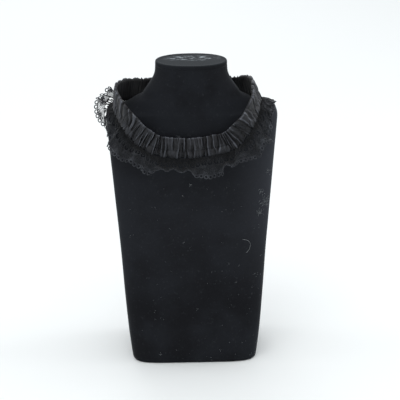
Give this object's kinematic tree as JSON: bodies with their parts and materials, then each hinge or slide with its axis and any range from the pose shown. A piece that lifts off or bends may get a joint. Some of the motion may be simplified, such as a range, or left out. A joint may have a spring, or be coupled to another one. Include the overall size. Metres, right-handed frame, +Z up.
{
  "type": "choker necklace on a neck bust",
  "caption": "Black ruched elastic choker with a gathered lace ruffle under it, worn by a flat velvet-covered neck and shoulder display bust.",
  "frame": {"origin": "middle of the bust's flat resting face", "axes": "+Z up the neck, -Y the way the bust's chest faces, +X to the wearer's left, which is the right-hand side of the picture"},
  "size_m": [0.183, 0.1229, 0.3095],
  "materials": {
    "bust_velvet": "short dark grey velvet flock, dusty",
    "cap_velvet": "worn velvet, rubbed pale",
    "band_taffeta": "gathered black taffeta, low sheen",
    "black_lace": "matt black corded net lace"
  },
  "bodies": {
    "root": {"bust_body": "bust_velvet", "neck_cap": "cap_velvet", "ruched_band": "band_taffeta", "lace_ruffle": "black_lace"}
  },
  "joints": []
}
